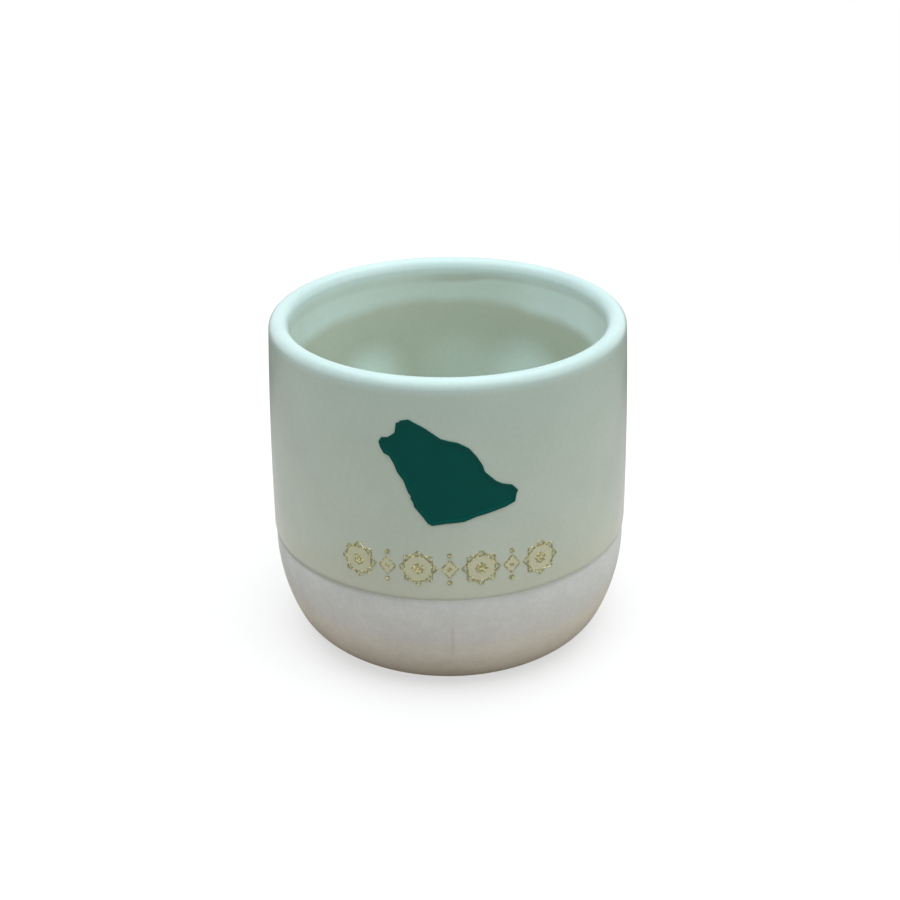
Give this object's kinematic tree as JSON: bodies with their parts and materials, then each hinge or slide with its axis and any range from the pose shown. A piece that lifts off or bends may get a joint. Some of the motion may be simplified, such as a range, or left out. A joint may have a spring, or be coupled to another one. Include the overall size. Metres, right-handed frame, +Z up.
{
  "type": "coffee cup",
  "caption": "Handleless coffee cup: thick rounded clay body with a bare foot, glossy glaze over wall, lip and bowl, a raised map figure and a gilded star border.",
  "frame": {"origin": "on the cup's axis, in the plane that the foot ring stands on", "axes": "+Z up the cup's axis, -Y out of the decorated front, +X to the right seen from the front"},
  "size_m": [0.062, 0.0622, 0.0575],
  "materials": {
    "clay": "matte",
    "glaze": "gloss",
    "liner": "gloss",
    "green_enamel": "gloss",
    "pale_enamel": "satin",
    "gilding": "satin"
  },
  "bodies": {
    "root": {"clay_body": "clay", "outer_glaze": "glaze", "liner_glaze": "liner", "map_enamel": "green_enamel", "border_ground": "pale_enamel", "border_gilding": "gilding"}
  },
  "joints": []
}
